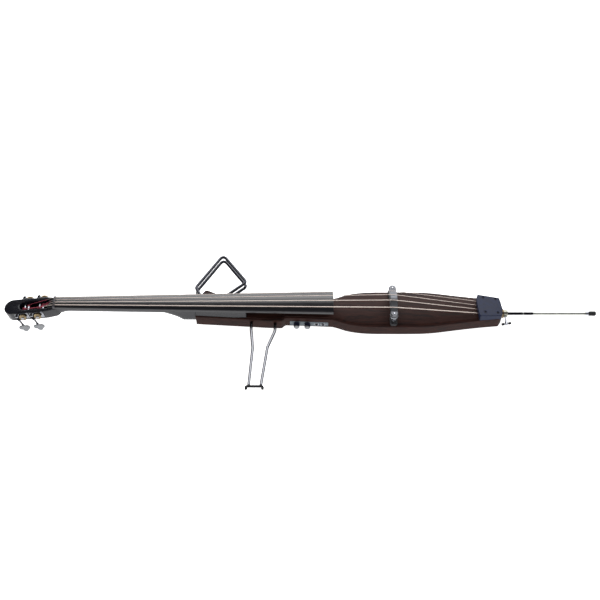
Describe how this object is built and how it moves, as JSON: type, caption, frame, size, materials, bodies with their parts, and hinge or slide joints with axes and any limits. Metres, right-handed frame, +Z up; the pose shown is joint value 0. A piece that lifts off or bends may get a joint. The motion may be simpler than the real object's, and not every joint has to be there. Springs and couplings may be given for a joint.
{
  "type": "electric double bass",
  "caption": "Slim electric double bass lying on its back, with slotted head, worm tuners, bent shoulder bow, chest rest, metal bridge, side controls and sliding endpin.",
  "frame": {"origin": "on the ground under the middle of the bounding box of the bass, which lies on its back", "axes": "+X along the strings from the head to the endpin tip, +Y across from the bass side to the treble side, +Z up out of the playing face"},
  "size_m": [1.8796, 0.512, 0.1116],
  "materials": {
    "lacquered_wood": "dark stained maple under satin lacquer",
    "painted_maple": "maple under satin black paint",
    "ebony": "oiled, close-pored, low sheen",
    "nut": "dark moulded plastic, satin",
    "chrome": "polished plating",
    "dark_chrome": "dark chrome plating, semi-bright",
    "grey_key": "satin nickel on die-cast alloy",
    "brass": "turned brass, lightly tarnished",
    "steel": "turned steel, satin",
    "string_wire": "flat-wound steel with silk-wrapped ends",
    "slate_cover": "moulded cover with fine texture",
    "black_plastic": "fine moulded texture",
    "battery": "plain dark jacket",
    "circuit": "solder-masked board",
    "knob": "semi-gloss dark blue",
    "rubber": "matt black rubber"
  },
  "bodies": {
    "bass": {"body": "lacquered_wood", "neck": "painted_maple", "fingerboard": "ebony", "nut": "nut", "string_E": "string_wire", "string_A": "string_wire", "string_D": "string_wire", "string_G": "string_wire", "tuner_plate_E": "chrome", "tuner_plate_G": "chrome", "tuner_plate_A": "chrome", "tuner_plate_D": "chrome", "bridge_bar": "dark_chrome", "bridge_foot_bass": "rubber", "bridge_foot_treble": "rubber", "bridge_post_bass": "chrome", "bridge_post_treble": "chrome", "tailpiece_cover": "slate_cover", "string_anchor": "steel", "control_plate": "black_plastic", "pot_volume": "steel", "pot_tone": "steel", "jack_output": "chrome", "jack_phones": "chrome", "preamp_board": "circuit", "battery": "battery", "endpin_socket": "brass", "endpin_collar": "chrome", "shoulder_bow_upper": "dark_chrome", "shoulder_bow_lower": "dark_chrome"},
    "key_E": {"tuner_key_E": "grey_key"},
    "roller_E": {"tuner_gear_E": "brass", "tuner_roller_E": "chrome"},
    "key_G": {"tuner_key_G": "grey_key"},
    "roller_G": {"tuner_gear_G": "brass", "tuner_roller_G": "chrome"},
    "key_A": {"tuner_key_A": "grey_key"},
    "roller_A": {"tuner_gear_A": "brass", "tuner_roller_A": "chrome"},
    "key_D": {"tuner_key_D": "grey_key"},
    "roller_D": {"tuner_gear_D": "brass", "tuner_roller_D": "chrome"},
    "knob_volume": {"knob_volume": "knob", "knob_shaft_volume": "steel"},
    "knob_tone": {"knob_tone": "knob", "knob_shaft_tone": "steel"},
    "endpin": {"endpin_rod": "steel", "endpin_ferrule": "chrome", "endpin_tip": "rubber"},
    "endpin_screw": {"endpin_screw": "chrome"},
    "chest_rest": {"rest_rod_left": "dark_chrome", "rest_rod_right": "dark_chrome", "rest_bar": "rubber"},
    "wheel_bass": {"bridge_wheel_bass": "chrome"},
    "wheel_treble": {"bridge_wheel_treble": "chrome"}
  },
  "joints": [
    {"name": "key_E_turn", "type": "hinge", "parent": "bass", "child": "key_E", "pos_m": [-0.89103, -0.00329, 0.06958], "axis": [0.148, 0, -0.989], "continuous": true},
    {"name": "roller_E_turn", "type": "hinge", "parent": "bass", "child": "roller_E", "pos_m": [-0.87538, -0.00329, 0.07192], "axis": [0, -1, 0], "continuous": true},
    {"name": "key_G_turn", "type": "hinge", "parent": "bass", "child": "key_G", "pos_m": [-0.87911, 0.06951, 0.07094], "axis": [0.148, 0, -0.989], "continuous": true},
    {"name": "roller_G_turn", "type": "hinge", "parent": "bass", "child": "roller_G", "pos_m": [-0.86346, 0.06951, 0.07328], "axis": [0, 1, 0], "continuous": true},
    {"name": "key_A_turn", "type": "hinge", "parent": "bass", "child": "key_A", "pos_m": [-0.84334, -0.00329, 0.07502], "axis": [0.148, 0, -0.989], "continuous": true},
    {"name": "roller_A_turn", "type": "hinge", "parent": "bass", "child": "roller_A", "pos_m": [-0.82769, -0.00329, 0.07737], "axis": [0, -1, 0], "continuous": true},
    {"name": "key_D_turn", "type": "hinge", "parent": "bass", "child": "key_D", "pos_m": [-0.83142, 0.06951, 0.07638], "axis": [0.148, 0, -0.989], "continuous": true},
    {"name": "roller_D_turn", "type": "hinge", "parent": "bass", "child": "roller_D", "pos_m": [-0.81577, 0.06951, 0.07873], "axis": [0, 1, 0], "continuous": true},
    {"name": "volume_turn", "type": "hinge", "parent": "bass", "child": "knob_volume", "pos_m": [-0.01515, -0.01099, 0.02676], "axis": [-0.0439, -0.999, 0.0008], "range_deg": [-150, 150]},
    {"name": "tone_turn", "type": "hinge", "parent": "bass", "child": "knob_tone", "pos_m": [0.01881, -0.01249, 0.02618], "axis": [-0.0439, -0.999, 0.0008], "range_deg": [-150, 150]},
    {"name": "endpin_slide", "type": "slide", "parent": "bass", "child": "endpin", "axis": [0.9999, 0, -0.0172], "range_m": [-0.215, 0.02]},
    {"name": "endpin_screw_turn", "type": "hinge", "parent": "bass", "child": "endpin_screw", "pos_m": [0.64941, 0.01311, 0.0178], "axis": [0, -1, 0], "range_deg": [0, 540]},
    {"name": "chest_rest_slide", "type": "slide", "parent": "bass", "child": "chest_rest", "axis": [0, -1, 0], "range_m": [-0.02, 0.05]},
    {"name": "wheel_bass_turn", "type": "hinge", "parent": "bass", "child": "wheel_bass", "pos_m": [0.28914, -0.01689, 0.08102], "axis": [0.0172, 0, 0.9999], "range_deg": [-360, 360]},
    {"name": "wheel_treble_turn", "type": "hinge", "parent": "bass", "child": "wheel_treble", "pos_m": [0.28914, 0.08311, 0.08102], "axis": [0.0172, 0, 0.9999], "range_deg": [-360, 360]}
  ],
  "couplings": [
    {"joint": "roller_E_turn", "follows": "key_E_turn", "ratio": -0.05},
    {"joint": "roller_G_turn", "follows": "key_G_turn", "ratio": -0.05},
    {"joint": "roller_A_turn", "follows": "key_A_turn", "ratio": -0.05},
    {"joint": "roller_D_turn", "follows": "key_D_turn", "ratio": -0.05}
  ]
}
